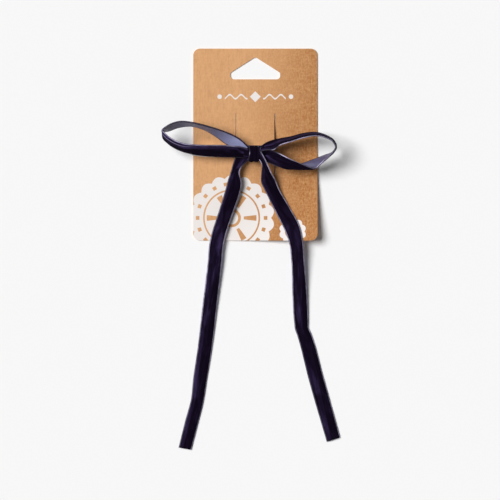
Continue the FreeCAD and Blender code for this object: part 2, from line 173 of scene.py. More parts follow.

# Along each edge of a ribbon, how plainly its pale selvedge shows, with painted highlight along it: share of
# the length, amount.
SHOWN = {
    "left_loop": (
        ((0, 0), (0.1, 0.04), (0.55, 0.08), (0.75, 0.3), (0.9, 0.15), (1, 0)),
        ((0, 0), (0.04, 0.05), (0.08, 0.3), (0.2, 0.3), (0.3, 0.5), (0.36, 0.9), (0.47, 0.9), (0.51, 0.3),
         (0.8, 0.12), (1, 0))),
    "right_loop": (
        ((0, 0), (0.6, 0.08), (0.7, 0.15), (1, 0.03)),
        ((0, 0), (0.07, 0.02), (0.085, 0.5), (0.095, 0.5), (0.105, 0.08), (0.118, 0.12), (0.13, 0.8),
         (0.2, 0.75), (0.3, 0.55), (0.36, 0.45), (0.42, 0.4), (0.5, 0.3), (0.57, 0.9), (0.71, 1),
         (0.735, 0.15), (0.8, 0.2), (0.86, 0.5), (0.885, 1), (0.912, 1), (0.922, 0.2), (0.935, 0.03),
         (1, 0))),
    "left_tail": (
        ((0, 0), (0.08, 0.15), (0.26, 0.25), (0.34, 0.5), (0.55, 0.5), (0.7, 0.25), (1, 0.2)),
        ((0, 0), (0.03, 0.03), (0.046, 0.12), (0.056, 0.9), (0.068, 0.75), (0.085, 0.4), (0.16, 0.35),
         (0.27, 0.7), (0.33, 0.6), (0.4, 0.45), (0.6, 0.45), (0.75, 0.3), (1, 0.3))),
    "right_tail": (
        ((0, 0.6), (0.02, 0.7), (0.045, 0.08), (0.15, 0.2), (0.26, 0.5), (0.45, 0.5), (0.6, 0.35),
         (0.7, 0.15), (1, 0.15)),
        ((0, 0.25), (0.02, 0.4), (0.05, 0.75), (0.12, 0.6), (0.22, 0.45), (0.6, 0.4), (0.64, 0.6),
         (0.7, 0.35), (1, 0.35))),
}

# Along each ribbon, a stripe of painted sheen on the pile: share of the length, place across
# (0 at the first edge, 1 at the second), half width, amount, and how far the pile parts along its middle.
GLEAM = {
    "left_loop": (
        (0, 0.45, 0.15, 1.4, 0), (0.025, 0.5, 0.15, 1.2, 0), (0.045, 0.6, 0.12, 0.4, 0),
        (0.07, 0.88, 0.12, 0.25, 0), (0.15, 0.92, 0.2, 0.5, 0), (0.3, 0.9, 0.24, 0.6, 0),
        (0.36, 0.8, 0.28, 0.4, 0.5), (0.42, 0.76, 0.3, 0.35, 0.9), (0.49, 0.7, 0.3, 0.3, 0.6),
        (0.51, 0.7, 0.3, 0.5, 0), (0.6, 0.5, 0.1, 0, 0)),
    "right_loop": (
        (0, 0.5, 0.1, 1.4, 0), (0.05, 0.55, 0.12, 0.9, 0), (0.1, 0.45, 0.12, 0.25, 0),
        (0.2, 0.6, 0.2, 0.45, 0), (0.35, 0.5, 0.2, 0.45, 0), (0.45, 0.5, 0.1, 0, 0),
        (0.8, 0.3, 0.1, 0, 0), (0.93, 0.3, 0.14, 0.25, 0), (1, 0.5, 0.1, 0.6, 0)),
    "left_tail": (
        (0, 0.5, 0.2, 0.2, 0), (0.05, 0.86, 0.12, 0.3, 0), (0.08, 0.2, 0.1, 0.15, 0),
        (0.2, 0.1, 0.1, 0.2, 0), (0.3, 0.55, 0.4, 0.15, 0), (0.36, 0.5, 0.4, 0.1, 0),
        (0.45, 0.3, 0.3, 0.15, 0), (0.6, 0.15, 0.15, 0.15, 0), (1, 0.15, 0.15, 0.2, 0)),
    "right_tail": (
        (0, 0.3, 0.14, 0.3, 0), (0.08, 0.2, 0.1, 0.2, 0), (0.2, 0.2, 0.1, 0.1, 0),
        (0.3, 0.4, 0.3, 0.08, 0), (0.45, 0.5, 0.3, 0.1, 0), (0.55, 0.3, 0.2, 0.2, 0),
        (0.65, 0.6, 0.2, 0, 0), (1, 0.2, 0.15, 0.25, 0)),
}

# Weave of the ribbon's back, counted over one width of it, and pleats across it where it is gathered.
CROSS_RIBS, LENGTH_THREADS = 16, 20
PLEATS = 2

# How far the tails cup across their width, in millimetres.
TAIL_CUP = 0.12

# Places of the card's print and of the painted shadow along its right-hand cut, in metres.
DOILY_AT = (-0.0105, -0.0325)
ROSETTE_AT = (0.0165, -0.0385)
BORDER_Y = 0.0212
BORDER_END = 0.0158
CUT_X, CUT_REACH = 0.0086, 0.0137

# Where the light comes from, how far the floor reaches and how far it lies under the object, and how bright
# the backdrop looks.
LIGHT_FROM = (-0.58, 0.24, 1.0)
FLOOR_REACH = 3.0
FLOOR_GAP = 0.00002
BACKDROP_LEVEL = 0.955


# ---------------------------------------------------------------- settings
class RibbonSettings(bpy.types.PropertyGroup):
    width: FloatProperty(
        name="Width", description="Woven width of the velvet ribbon",
        default=0.007, unit="LENGTH", precision=5)
    ground: FloatProperty(
        name="Ground", description="Thickness of the woven ground cloth",
        default=0.0003, unit="LENGTH", precision=5)
    pile: FloatProperty(
        name="Pile", description="Height of the velvet pile over the ground",
        default=0.0006, unit="LENGTH", precision=5)
    selvedge: FloatProperty(
        name="Selvedge", description="Bare woven border along each edge",
        default=0.00045, unit="LENGTH", precision=5)
    step: FloatProperty(
        name="Step", description="Spacing of the sections along the ribbon",
        default=0.0005, unit="LENGTH", precision=5)
    velvet: FloatVectorProperty(
        name="Velvet", description="Colour of the pile in its folds",
        subtype="COLOR", default=(0.0028, 0.0007, 0.0054))
    # Violet of the painted sheen on the pile, also used for its crushed patches and streaks.
    nap: FloatVectorProperty(
        name="Nap", description="Colour of the pile where it is brushed up",
        subtype="COLOR", default=(0.070, 0.047, 0.150))
    back: FloatVectorProperty(
        name="Back", description="Colour of the woven back in shade",
        subtype="COLOR", default=(0.063, 0.054, 0.125))
    bright_back: FloatVectorProperty(
        name="Bright back", description="Colour of the woven back where it shines",
        subtype="COLOR", default=(0.36, 0.38, 0.64))
    edge: FloatVectorProperty(
        name="Edge", description="Colour of the selvedge threads",
        subtype="COLOR", default=(0.72, 0.66, 0.93))


class CardSettings(bpy.types.PropertyGroup):
    kraft: FloatVectorProperty(
        name="Kraft", description="Colour of the card",
        subtype="COLOR", default=(0.700, 0.375, 0.182))
    # The deeper tone is painted shade towards the lower right of the card, mottled at random.
    toasted: FloatVectorProperty(
        name="Toasted", description="Deeper tone of the card towards one side",
        subtype="COLOR", default=(0.350, 0.119, 0.023))
    fibre: FloatVectorProperty(
        name="Fibre", description="Colour of the darker fibres",
        subtype="COLOR", default=(0.50, 0.26, 0.12))
    ink: FloatVectorProperty(
        name="Ink", description="Colour of the printed ornament",
        subtype="COLOR", default=(0.83, 0.785, 0.765))
    doily: FloatProperty(
        name="Doily", description="Radius of the printed scalloped disc",
        default=0.0175, unit="LENGTH", precision=4)
    scallops: IntProperty(
        name="Scallops", description="Number of lobes round the printed disc", default=18)


class ClipSettings(bpy.types.PropertyGroup):
    steel: FloatVectorProperty(
        name="Steel", description="Colour of the nickel-plated jaws",
        subtype="COLOR", default=(0.66, 0.65, 0.63))
    roughness: FloatProperty(
        name="Roughness", description="Roughness of the plating", default=0.28, min=0.0, max=1.0)


class StageSettings(bpy.types.PropertyGroup):
    floor: FloatVectorProperty(
        name="Floor", description="Colour of the floor", subtype="COLOR", default=(0.926, 0.932, 0.946))
    span: FloatProperty(
        name="Span", description="Width of floor that the camera takes in",
        default=0.2215, unit="LENGTH", precision=4)
    distance: FloatProperty(
        name="Distance", description="Height of the camera over the floor", default=2.0, unit="LENGTH")
    key: FloatProperty(name="Key", description="Strength of the soft main light", default=3.27)
    fill: FloatProperty(name="Fill", description="Strength of the surrounding light", default=0.13)


class BowSettings(bpy.types.PropertyGroup):
    ribbon: PointerProperty(
        name="Ribbon", description="Sizes and colours of the velvet ribbon", type=RibbonSettings)
    card: PointerProperty(
        name="Card", description="Colours and print of the display card", type=CardSettings)
    clip: PointerProperty(
        name="Clip", description="Plating of the alligator clip", type=ClipSettings)
    stage: PointerProperty(
        name="Stage", description="Floor, lights and camera", type=StageSettings)


def settings():
    """The sizes and colours that the panel shows."""
    return bpy.context.scene.bow


# ---------------------------------------------------------------- shader helpers
class Recipe:
    """A small shorthand for building one material's nodes."""

    def __init__(self, name):
        self.material = bpy.data.materials.new(name)
        self.material.use_nodes = True
        self.tree = self.material.node_tree
        self.shader = self.tree.nodes["Principled BSDF"]
        self.coords = self.tree.nodes.new("ShaderNodeTexCoord")
        self.object = self.coords.outputs["Object"]
        self.uv = self.coords.outputs["UV"]

    def put(self, socket, value):
        """Link another node's output to a socket, or set the socket to a number, vector or colour."""
        if isinstance(value, bpy.types.NodeSocket):
            self.tree.links.new(value, socket)
        elif hasattr(socket.default_value, "__len__") and not isinstance(value, (int, float)):
            value = list(value)
            socket.default_value = value + [1.0] if len(socket.default_value) > len(value) else value
        else:
            socket.default_value = value

    def attribute(self, name):
        node = self.tree.nodes.new("ShaderNodeAttribute")
        node.attribute_name = name
        return node.outputs["Fac"]

    def math(self, operation, *values, clamp=False):
        node = self.tree.nodes.new("ShaderNodeMath")
        node.operation = operation
        node.use_clamp = clamp
        for socket, value in zip(node.inputs, values):
            self.put(socket, value)
        return node.outputs[0]

    def plus(self, first, second, clamp=False):
        return self.math("ADD", first, second, clamp=clamp)

    def minus(self, first, second, clamp=False):
        return self.math("SUBTRACT", first, second, clamp=clamp)

    def times(self, first, second):
        return self.math("MULTIPLY", first, second)

    def most(self, first, *others):
        """The largest of several values."""
        for other in others:
            first = self.math("MAXIMUM", first, other)
        return first

    def split(self, vector):
        node = self.tree.nodes.new("ShaderNodeSeparateXYZ")
        self.put(node.inputs[0], vector)
        return node.outputs

    def mapped(self, vector, scale, turn=0.0):
        """Coordinates stretched and turned, so that a pattern gets a grain."""
        node = self.tree.nodes.new("ShaderNodeMapping")
        self.put(node.inputs["Vector"], vector)
        node.inputs["Scale"].default_value = scale
        node.inputs["Rotation"].default_value = (0, 0, turn)
        return node.outputs[0]

    def noise(self, vector, scale, detail=3.0, roughness=0.5, distortion=0.0):
        node = self.tree.nodes.new("ShaderNodeTexNoise")
        self.put(node.inputs["Vector"], vector)
        node.inputs["Scale"].default_value = scale
        node.inputs["Detail"].default_value = detail
        node.inputs["Roughness"].default_value = roughness
        node.inputs["Distortion"].default_value = distortion
        return node.outputs[0]

    def band(self, value, low, high):
        """0 below low, 1 above high, smooth between them."""
        node = self.tree.nodes.new("ShaderNodeMapRange")
        node.interpolation_type = "SMOOTHSTEP"
        for socket, item in zip(node.inputs, (value, low, high, 0.0, 1.0)):
            self.put(socket, item)
        return node.outputs[0]

    def mix(self, factor, first, second):
        """Colour between two others."""
        node = self.tree.nodes.new("ShaderNodeMix")
        node.data_type = "RGBA"
        self.put(node.inputs[0], factor)
        self.put(node.inputs[6], first)
        self.put(node.inputs[7], second)
        return node.outputs[2]

    def inside(self, value, edge, soft=0.00012):
        """1 while the value is under the edge, 0 past it."""
        return self.minus(1.0, self.band(value, edge - soft, edge + soft))

    def ring(self, radius, centre, half):
        """1 in a ring of that radius and half width."""
        return self.inside(self.math("ABSOLUTE", self.minus(radius, centre)), half)

    def polar(self, x, y, centre):
        """Distance and angle of a place from a centre."""
        dx, dy = self.minus(x, centre[0]), self.minus(y, centre[1])
        radius = self.math("SQRT", self.plus(self.times(dx, dx), self.times(dy, dy)))
        return radius, self.math("ARCTAN2", dy, dx)

    def bump(self, height, strength, distance):
        node = self.tree.nodes.new("ShaderNodeBump")
        node.inputs["Strength"].default_value = strength
        node.inputs["Distance"].default_value = distance
        self.put(node.inputs["Height"], height)
        return node.outputs[0]

    def finish(self, **sockets):
        """Fill in the shader and hand over the material."""
        for name, value in sockets.items():
            self.put(self.shader.inputs[name.replace("_", " ")], value)
        return self.material


# ---------------------------------------------------------------- finishes
def velvet_pile():
    """Dark velvet: near black, lifted to violet by painted sheen in stripes, along its edges and on pleat
    crests, and by crushed patches and streaks.
    """
    s = settings().ribbon
    r = Recipe("velvet_pile")
    across = r.split(r.uv)[0]
    nap, gleam_at, gleam_wide = r.attribute("nap"), r.attribute("gleam_at"), r.attribute("gleam_wide")
    patches = r.noise(r.mapped(r.uv, (1.0, 0.30, 1)), 1.8, 4.0, 0.6, 0.5)
    streaks = r.noise(r.mapped(r.uv, (9.0, 0.5, 1)), 1.6, 3.0, 0.6)
    tuft = r.noise(r.object, 5200.0, 2.0, 0.6)

    # Painted sheen in a stripe along the pile, where the gleam attributes put it.
    wander = r.math("ABSOLUTE", r.minus(r.plus(across, r.times(patches, 0.10)), r.plus(gleam_at, 0.05)))
    stripe = r.minus(1.0, r.band(wander, r.times(gleam_wide, 0.72), r.times(gleam_wide, 1.15)))
    stripe = r.times(r.times(stripe, r.attribute("gleam")), r.plus(0.35, r.band(patches, 0.40, 0.70)))
    # Painted highlight along both edges of the pile.
    rim_sheen = r.plus(r.band(across, 0.93, 0.99), r.band(across, 0.07, 0.01))
    rim_sheen = r.times(rim_sheen, r.plus(0.05, r.times(nap, 0.25)))
    # Crushed patches of pile, lifted further where the painted sheen is.
    wear_and_sheen = r.times(r.band(patches, 0.46, 0.72), r.plus(0.08, r.times(nap, 0.30)))
    lift = r.plus(r.plus(r.plus(rim_sheen, wear_and_sheen), stripe), r.times(r.band(streaks, 0.5, 0.8), 0.10), clamp=True)
    tips = r.times(r.band(tuft, 0.55, 0.75), r.plus(0.06, r.times(lift, 0.25)))
    aside = r.math("ABSOLUTE", r.minus(across, gleam_at))
    parting = r.times(r.attribute("parting"), r.minus(1.0, r.band(aside, 0.012, 0.045)))

    colour = r.mix(lift, s.velvet, s.nap)
    colour = r.mix(tips, colour, (0.085, 0.075, 0.150))
    colour = r.mix(parting, colour, [c * 0.6 for c in s.edge])
    return r.finish(Base_Color=colour, Roughness=0.95, Specular_IOR_Level=0.05, Sheen_Weight=0.035,
                    Sheen_Roughness=0.30, Sheen_Tint=(0.42, 0.38, 0.72), Normal=r.bump(tuft, 0.5, 0.0001))


def cross_ribs(r, along):
    """Ribs across the ribbon, from one thread to the next."""
    return r.math("SINE", r.times(along, 2 * math.pi * CROSS_RIBS))


def woven_back():
    """Back of the ribbon: close cross ribs of shiny thread, paler where the light rakes along them."""
    s = settings().ribbon
    r = Recipe("woven_back")
    across, along, _ = r.split(r.uv)
    ribs = cross_ribs(r, along)
    threads = r.math("SINE", r.times(across, 2 * math.pi * LENGTH_THREADS))
    cloud = r.noise(r.mapped(r.uv, (0.6, 0.9, 1)), 3.0, 3.0, 0.55)
    slub = r.noise(r.mapped(r.uv, (3.0, 50.0, 1)), 1.0, 2.0, 0.5)
    # Painted sheen on the woven back: paler where the rows' painted sheen is high.
    colour = r.mix(r.attribute("nap"), s.back, s.bright_back)
    colour = r.mix(r.times(r.band(cloud, 0.35, 0.7), 0.30), colour, [c * 0.5 for c in s.bright_back])
    colour = r.mix(r.times(r.band(slub, 0.50, 0.72), 0.22), colour, (0.42, 0.42, 0.62))
    colour = r.mix(r.times(r.band(ribs, 0.2, -0.8), 0.28), colour, (0.03, 0.028, 0.06))
    weave = r.plus(r.times(ribs, 0.7), r.times(threads, 0.3))
    return r.finish(Base_Color=colour, Roughness=0.45, Specular_IOR_Level=0.45, Sheen_Weight=0.10,
                    Sheen_Roughness=0.4, Sheen_Tint=(0.75, 0.75, 0.95), Normal=r.bump(weave, 0.4, 0.00006))


def selvedge_thread():
    """Bare border of the ribbon: pale where the threads show, with painted highlight along it, dark where the
    pile leans over them.
    """
    s = settings().ribbon
    r = Recipe("selvedge_thread")
    ribs = cross_ribs(r, r.split(r.uv)[1])
    # Random variation of the pale selvedge and of its painted highlight.
    wear_and_sheen = r.noise(r.object, 420.0, 3.0, 0.6)
    shown = r.times(r.attribute("bare"), r.plus(0.55, r.times(r.band(wear_and_sheen, 0.38, 0.62), 0.55)))
    colour = r.mix(shown, [c * 2.2 for c in s.velvet], s.edge)
    return r.finish(Base_Color=colour, Roughness=0.55, Specular_IOR_Level=0.25, Sheen_Weight=0.02,
                    Sheen_Roughness=0.4, Sheen_Tint=(0.8, 0.8, 1.0), Normal=r.bump(ribs, 0.5, 0.00008))


def kraft_board(r, x, y, fibres):
    """Colour of the unprinted board: two tones, the deeper one painted shade towards the lower right, mottled
    at random, then fibres both ways, grit, mottle and dark flecks.
    """
    s = settings().card
    crossed = r.noise(r.mapped(r.object, (0.16, 1, 1), 0.5), 1400.0, 4.0, 0.72, 0.2)
    grit = r.noise(r.mapped(r.object, (1, 0.5, 1), -0.3), 1700.0, 4.0, 0.7)
    mottle = r.noise(r.mapped(r.object, (1, 0.6, 1)), 420.0, 3.0, 0.6)
    flecks = r.noise(r.mapped(r.object, (1, 0.5, 1), 1.1), 900.0, 2.0, 0.5)
    cloud = r.noise(r.object, 70.0, 3.0, 0.5)
    # Painted shade: the board turns darker and deeper in tone towards the lower right, varied by a random
    # cloud.
    slope = r.band(r.minus(x, r.times(y, 0.25)), -0.018, 0.030)
    board = r.mix(r.plus(slope, r.times(r.minus(cloud, 0.5), 0.5), clamp=True), s.kraft, s.toasted)
    for grain, low, high, amount, colour in (
            (fibres, 0.38, 0.70, 0.62, s.fibre),
            (crossed, 0.40, 0.74, 0.30, (0.76, 0.43, 0.19)),
            (grit, 0.38, 0.72, 0.40, (0.80, 0.47, 0.22)),
            (mottle, 0.40, 0.68, 0.10, s.fibre),
            (flecks, 0.66, 0.76, 0.30, (0.36, 0.17, 0.08))):
        board = r.mix(r.times(r.band(grain, low, high), amount), board, colour)
    return board


def scalloped_disc(r, x, y):
    """Printed doily: scalloped rim, ring of eyelets, thin ring, spokes and hub."""
    s = settings().card
    size = s.doily
    radius, angle = r.polar(x, y, DOILY_AT)
    lobes = r.math("ABSOLUTE", r.math("SINE", r.times(angle, s.scallops / 2)))
    disc = r.inside(r.minus(radius, r.times(lobes, size * 0.085)), size)
    eyelets = r.times(r.ring(radius, size * 0.86, size * 0.045),
                      r.band(r.math("COSINE", r.times(angle, s.scallops)), 0.45, 0.6))
    spokes = r.times(r.ring(radius, size * 0.47, size * 0.16),
                     r.band(r.math("COSINE", r.times(angle, s.scallops / 3)), 0.72, 0.80))
    thin_ring = r.ring(radius, size * 0.70, size * 0.020)
    hub = r.ring(radius, size * 0.20, size * 0.035)
    return r.minus(disc, r.most(eyelets, spokes, thin_ring, hub), clamp=True)


def rosette(r, x, y):
    """Printed small flower of ten lobes with one thin ring in it."""
    radius, angle = r.polar(x, y, ROSETTE_AT)
    lobes = r.times(r.math("ABSOLUTE", r.math("SINE", r.times(angle, 5.0))), 0.0008)
    return r.minus(r.inside(r.minus(radius, lobes), 0.0052), r.ring(radius, 0.0030, 0.0004), clamp=True)


def wavy_border(r, x, y):
    """Printed waves on both sides of a diamond, with a dot at each end."""
    across = r.math("ABSOLUTE", x)
    row = r.minus(y, BORDER_Y)
    diamond = r.inside(r.plus(across, r.math("ABSOLUTE", row)), 0.0024)
    wave = r.minus(row, r.times(r.math("SINE", r.times(across, 1250.0)), 0.0009))
    stretch = r.times(r.inside(across, 0.0135), r.band(across, 0.0034, 0.0036))
    line = r.times(r.inside(r.math("ABSOLUTE", wave), 0.00035), stretch)
    dot = r.inside(r.polar(across, y, (BORDER_END, BORDER_Y))[0], 0.0010)
    return r.most(diamond, line, dot)


def printed_kraft():
    """Brown kraft board with long fibres, printed in white on its front, with painted shade towards the lower
    right and a painted shadow along the right-hand cut.
    """
    s = settings().card
    r = Recipe("printed_kraft")
    x, y, _ = r.split(r.object)
    facing = r.split(r.tree.nodes.new("ShaderNodeNewGeometry").outputs["Normal"])[2]
    fibres = r.noise(r.mapped(r.object, (1, 0.14, 1)), 1500.0, 5.0, 0.72, 0.2)
    ornament = r.most(scalloped_disc(r, x, y), rosette(r, x, y), wavy_border(r, x, y))
    ink = r.times(ornament, r.band(facing, 0.3, 0.6))
    cover = r.minus(1.0, r.times(r.band(fibres, 0.58, 0.85), 0.22))
    # A painted shadow along the right-hand cut.
    cut_shadow = r.times(r.ring(x, CUT_X, 0.00026), r.inside(r.math("ABSOLUTE", y), CUT_REACH))
    edge = r.minus(1.0, r.band(r.math("ABSOLUTE", facing), 0.2, 0.7))
    colour = r.mix(r.times(ink, cover), kraft_board(r, x, y, fibres), s.ink)
    colour = r.mix(r.times(cut_shadow, 0.6), colour, (0.12, 0.05, 0.02))
    colour = r.mix(r.times(edge, 0.7), colour, (0.60, 0.36, 0.19))
    rough = r.minus(0.90, r.times(ink, 0.22))
    return r.finish(Base_Color=colour, Roughness=rough, Specular_IOR_Level=0.25,
                    Normal=r.bump(fibres, 0.22, 0.00008))


def plated_steel(name, colour, roughness, grain):
    """Nickel-plated strip or wire with a drawn grain and faint scuffs."""
    r = Recipe(name)
    drawn = r.noise(r.mapped(r.object, grain), 1400.0, 3.0, 0.6)
    scuffs = r.noise(r.object, 420.0, 4.0, 0.6, 0.8)
    tone = r.mix(r.band(scuffs, 0.5, 0.8), colour, [c * 0.72 for c in colour])
    rough = r.plus(roughness, r.times(r.band(scuffs, 0.45, 0.8), 0.18))
    return r.finish(Base_Color=tone, Metallic=1.0, Roughness=rough, Normal=r.bump(drawn, 0.25, 0.00002))


def ribbed_lining():
    """Narrow ribbed tape glued along the upper jaw."""
    r = Recipe("ribbed_lining")
    pitch = 0.00055
    ribs = r.math("SINE", r.times(r.split(r.object)[0], 2 * math.pi / pitch))
    fuzz = r.noise(r.object, 3000.0, 3.0, 0.6)
    colour = r.mix(r.band(ribs, -0.6, 0.8), (0.012, 0.008, 0.020), (0.045, 0.035, 0.075))
    colour = r.mix(r.times(fuzz, 0.25), colour, (0.08, 0.07, 0.12))
    return r.finish(Base_Color=colour, Roughness=0.7, Specular_IOR_Level=0.35, Sheen_Weight=0.2,
                    Normal=r.bump(ribs, 0.6, 0.0001))


def set_glue():
    """Clear set glue: waxy, slightly uneven, darkened by the cloth behind it."""
    r = Recipe("set_glue")
    swirl = r.noise(r.object, 700.0, 3.0, 0.5, 1.2)
    colour = r.mix(r.band(swirl, 0.35, 0.7), (0.17, 0.155, 0.15), (0.30, 0.28, 0.26))
    return r.finish(Base_Color=colour, Roughness=0.32, Subsurface_Weight=0.15,
                    Normal=r.bump(swirl, 0.4, 0.0002))


def shared(builder):
    """The material of that name, made on first use."""
    return bpy.data.materials.get(builder.__name__) or builder()


def dress(node, material):
    """Give a CAD node's object its finish, keeping its shape."""
    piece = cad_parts[node]
    piece.data.materials.clear()
    piece.data.materials.append(material)


# ---------------------------------------------------------------- ribbon geometry
def smooth(values, marks, at):
    """Smooth curve through rows of numbers at their marks, read at other places."""
    slopes = np.gradient(values, marks, axis=0)
    k = np.clip(np.searchsorted(marks, at) - 1, 0, len(marks) - 2)
    h = (marks[k + 1] - marks[k])[:, None]
    t = ((at - marks[k]) / h[:, 0])[:, None]
    a, b = values[k], values[k + 1]
    return ((2 * t**3 - 3 * t**2 + 1) * a + (t**3 - 2 * t**2 + t) * h * slopes[k]
            + (3 * t**2 - 2 * t**3) * b + (t**3 - t**2) * h * slopes[k + 1])


def unit(rows):
    """Each row as a direction of length one."""
    return rows / np.linalg.norm(rows, axis=1, keepdims=True)


def placed(x, y, z):
    """True place of a point at height z that looks to be at x, y from overhead."""
    nearer = 1 - z / SEEN_FROM[2]
    return [round(eye + (seen - eye) * nearer, 2) for seen, eye in zip((x, y), SEEN_FROM)] + [round(z, 2)]


def leaning(first, second, height, bow=0.0):
    """The two edges of a ribbon that leans until it looks as narrow as its outline."""
    s = settings().ribbon
    width, thickness = s.width / MM, (s.ground + s.pile) / MM
    gap = math.dist(first, second)
    lean = math.atan2(thickness, width) + math.acos(min(gap / math.hypot(width, thickness), 1.0))
    lean = min(lean, math.radians(89.9))
    flat, rise = width / 2 * math.cos(lean), width / 2 * math.sin(lean)
    middles = [(a + b) / 2 for a, b in zip(first, second)]
    ways = [(b - a) / gap for a, b in zip(first, second)]
    lower = placed(*(m - w * flat for m, w in zip(middles, ways)), height - rise)
    upper = placed(*(m + w * flat for m, w in zip(middles, ways)), height + rise)
    lower[1] += bow
    return lower, upper


def station(row):
    """True places of a row's two edges, then its pleats and painted sheen."""
    first, second, *rest = row
    if len(first) == 3:
        return placed(*first), placed(*second), *rest
    height, pleats, nap, *bow = rest
    return *leaning(first, second, height, *bow), pleats, nap


def section(wrapped):
    """Outline of the ribbon: distance from its first edge, height, and finish of the face after it."""
    s = settings().ribbon
    w, g, p, e = s.width / MM, s.ground / MM, s.pile / MM, s.selvedge / MM
    low = -(g + p) / 2
    top, mid = low + g + p, low + g / 2
    rim = PILE if wrapped else SELVEDGE
    rise = [(0.0, mid), (0.08, low + g), (e, low + g + 0.02), (e + 0.08, low + g + 0.6 * p),
            (e + 0.35, top - 0.1 * p), (e + 0.9, top), (e + 1.7, top), (w / 2, top)]
    front = rise + [(w - d, h) for d, h in reversed(rise[1:-1])]
    front_kinds = [SELVEDGE] * 2 + [PILE] * (len(front) - 4) + [SELVEDGE] * 2
    inward = (0.08, 0.32, 0.70, 1.4)
    back = [(w, mid), *((w - d, low) for d in inward), (w / 2, low), *((d, low) for d in reversed(inward))]
    back_kinds = [rim, rim, SELVEDGE, BACK, BACK, BACK, BACK, SELVEDGE, rim, rim]
    return [(d, h, k) for (d, h), k in zip(front + back, front_kinds + back_kinds)]


def loft(rings, points, closed=False):
    """Faces of a tube between rings of points, capped at its ends unless they join up."""
    faces = []
    for j in range(rings if closed else rings - 1):
        here, there = j * points, (j + 1) % rings * points
        for k in range(points):
            n = (k + 1) % points
            faces.append((here + k, here + n, there + n, there + k))
    if not closed:
        faces += [tuple(range(points - 1, -1, -1)), tuple(range((rings - 1) * points, rings * points))]
    return faces


def mark(mesh, **values):
    """Store numbers for each point of a mesh."""
    for name, numbers in values.items():
        mesh.attributes.new(name, "FLOAT", "POINT").data.foreach_set("value", np.asarray(numbers, np.float32))


def cloth_mesh(name, verts, faces, kinds, spots, naps, bares):
    """Mesh with the cloth's finishes, its pattern map, and at each point its painted sheen and how much of
    its pale selvedge, with painted highlight, shows.
    """
    mesh = bpy.data.meshes.new(name)
    mesh.from_pydata(verts, [], faces)
    for builder in (velvet_pile, selvedge_thread, woven_back):
        mesh.materials.append(shared(builder))
    layer = mesh.uv_layers.new(name="cloth")
    for polygon, kind in zip(mesh.polygons, kinds):
        polygon.material_index = kind
        polygon.use_smooth = True
        for loop in polygon.loop_indices:
            layer.data[loop].uv = spots[mesh.loops[loop].vertex_index]
    mark(mesh, nap=naps, bare=bares)
    return mesh


def settle(mesh):
    """Turn faces outwards and put the piece in the scene under its mesh's name."""
    work = bmesh.new()
    work.from_mesh(mesh)
    bmesh.ops.recalc_face_normals(work, faces=work.faces)
    work.to_mesh(mesh)
    work.free()
    piece = bpy.data.objects.new(mesh.name, mesh)
    bpy.context.scene.collection.objects.link(piece)
    return piece


def ribbon_piece(stretch, rows, side=1, wrapped=False, cup=0.0):
    """One stretch of ribbon, velvet on one face and woven back on the other, and its two edge lines."""
    s = settings().ribbon
    full = s.width / MM
    firsts, seconds, *extra = zip(*(station(row) for row in rows))
    left, right = np.array(firsts, float), np.array(seconds, float)
    mids = (left + right) / 2
    marks = np.concatenate([[0.0], np.cumsum(np.linalg.norm(np.diff(mids, axis=0), axis=1))])
    count = int(marks[-1] * MM / s.step) + 1
    at = np.linspace(0.0, marks[-1], count)
    # The rows' last column is painted sheen on the pile and on the woven back.
    depth, nap = np.clip(smooth(np.array(extra, float).T, marks, at), 0, 1).T
    left, right = smooth(left, marks, at), smooth(right, marks, at)
    width = np.linalg.norm(right - left, axis=1)
    across = unit(right - left)
    ahead = unit(np.gradient((left + right) / 2, axis=0))
    face = unit(np.cross(across, ahead)) * side
    along = at / marks[-1]
    # How plainly each pale selvedge shows, with its painted highlight.
    bare = [np.interp(along, *zip(*edge)) for edge in SHOWN[stretch]]

    courses, spots, kinds, naps, bares = [], [], [], [], []
    for d, h, kind in section(wrapped):
        share = d / full
        place = width / 2 if d == full / 2 else (np.full(count, d) if d < full / 2 else width - (full - d))
        crest = math.cos(2 * math.pi * PLEATS * share + 0.6)
        crown = cup * (4 * share * (1 - share) - 0.5)
        courses.append(left + across * place[:, None] + face * (h + depth * crest + crown)[:, None])
        spots.append([(share, spot) for spot in at / full])
        kinds.append(kind)
        # Painted highlight on the pleat crests, on top of the painted sheen of the rows.
        naps.append(np.clip(nap + 3.4 * depth * max(crest, 0) ** 5, 0, 1.9))
        bares.append(bare[0] if share < 0.5 else bare[1])
    points = len(courses)
    verts = (np.stack(courses, axis=1).reshape(-1, 3) * MM).tolist()
    mesh = cloth_mesh(stretch + "_ribbon", verts, loft(count, points), kinds * (count - 1) + [BACK, BACK],
                      [spot for ring in zip(*spots) for spot in ring],
                      np.stack(naps, axis=1).ravel(), np.stack(bares, axis=1).ravel())
    gleam = np.array(GLEAM[stretch], float).T
    for key, values in zip(("gleam_at", "gleam_wide", "gleam", "parting"), gleam[1:]):
        mark(mesh, **{key: np.repeat(np.interp(along, gleam[0], values), points)})
    inset = 0.12
    lines = [((left + across * inset) * MM, bare[0]), ((right - across * inset) * MM, bare[1])]
    return settle(mesh), lines


def middle(node):
    """Centre and half size of a CAD node's box."""
    low, high = (np.array(corner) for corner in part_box(node))
    return (low + high) / 2, (high - low) / 2


